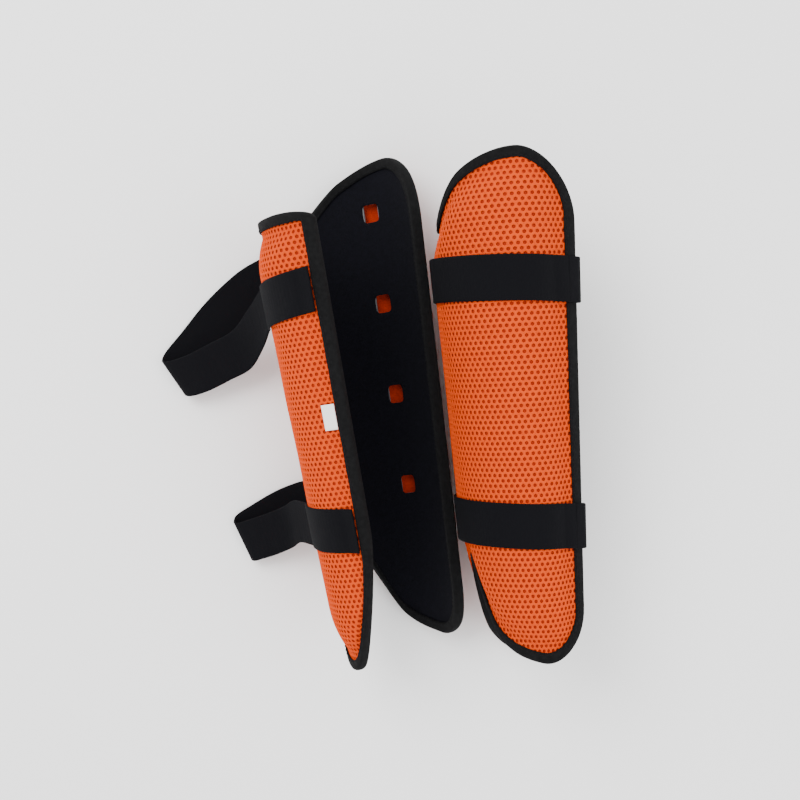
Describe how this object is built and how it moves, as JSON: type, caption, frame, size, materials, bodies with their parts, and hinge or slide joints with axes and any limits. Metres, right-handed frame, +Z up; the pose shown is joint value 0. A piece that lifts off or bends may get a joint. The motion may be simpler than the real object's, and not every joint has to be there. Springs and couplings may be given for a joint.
{
  "type": "knee pads",
  "caption": "Pair of long curled knee and shin pads with an orange spacer mesh outside, a dark lining, woven edge binding and elastic straps, lying side by side",
  "frame": {"origin": "the middle of the bounding box at floor level, under the pair", "axes": "+Y runs along the pads towards their wider top ends, +X goes from the left pad to the right pad, and +Z is up from the floor they lie on"},
  "size_m": [0.3453, 0.4156, 0.1452],
  "materials": {
    "lining_fabric": "matt knitted lining",
    "plate_plastic": "matt sheet plastic",
    "foam": "soft foam",
    "orange_mesh": "open spacer mesh",
    "binding_tape": "woven tape",
    "webbing": "elastic webbing",
    "hook_tape": "hook tape",
    "tag_fabric": "plain woven tag"
  },
  "bodies": {
    "pads": {"left_lining": "lining_fabric", "left_stiffener_plate": "plate_plastic", "left_foam_core": "foam", "left_mesh_cover": "orange_mesh", "left_edge_binding": "binding_tape", "left_upper_strap": "webbing", "left_lower_strap": "webbing", "left_size_tag": "tag_fabric", "right_lining": "lining_fabric", "right_stiffener_plate": "plate_plastic", "right_foam_core": "foam", "right_mesh_cover": "orange_mesh", "right_edge_binding": "binding_tape", "right_upper_strap": "webbing", "right_lower_strap": "webbing"},
    "left_upper_loop": {"left_upper_strap_end": "webbing", "left_upper_hook_tab": "hook_tape"},
    "left_lower_loop": {"left_lower_strap_end": "webbing", "left_lower_hook_tab": "hook_tape"},
    "right_upper_wrap": {"right_upper_strap_end": "webbing", "right_upper_hook_tab": "hook_tape"},
    "right_lower_wrap": {"right_lower_strap_end": "webbing", "right_lower_hook_tab": "hook_tape"}
  },
  "joints": [
    {"name": "left_upper_strap_swing", "type": "hinge", "parent": "pads", "child": "left_upper_loop", "pos_m": [-0.08017, 0.07845, 0.06861], "axis": [-0.2001, 0.9788, 0.0445], "range_deg": [0, 35]},
    {"name": "left_lower_strap_swing", "type": "hinge", "parent": "pads", "child": "left_lower_loop", "pos_m": [-0.04492, -0.09399, 0.06077], "axis": [-0.2001, 0.9788, 0.0445], "range_deg": [0, 35]},
    {"name": "right_upper_strap_peel", "type": "hinge", "parent": "pads", "child": "right_upper_wrap", "pos_m": [0.16428, 0.09771, 0.12431], "axis": [0.0348, -0.9961, -0.0805], "range_deg": [0, 90]},
    {"name": "right_lower_strap_peel", "type": "hinge", "parent": "pads", "child": "right_lower_wrap", "pos_m": [0.17086, -0.09075, 0.10908], "axis": [0.0348, -0.9961, -0.0805], "range_deg": [0, 90]}
  ]
}
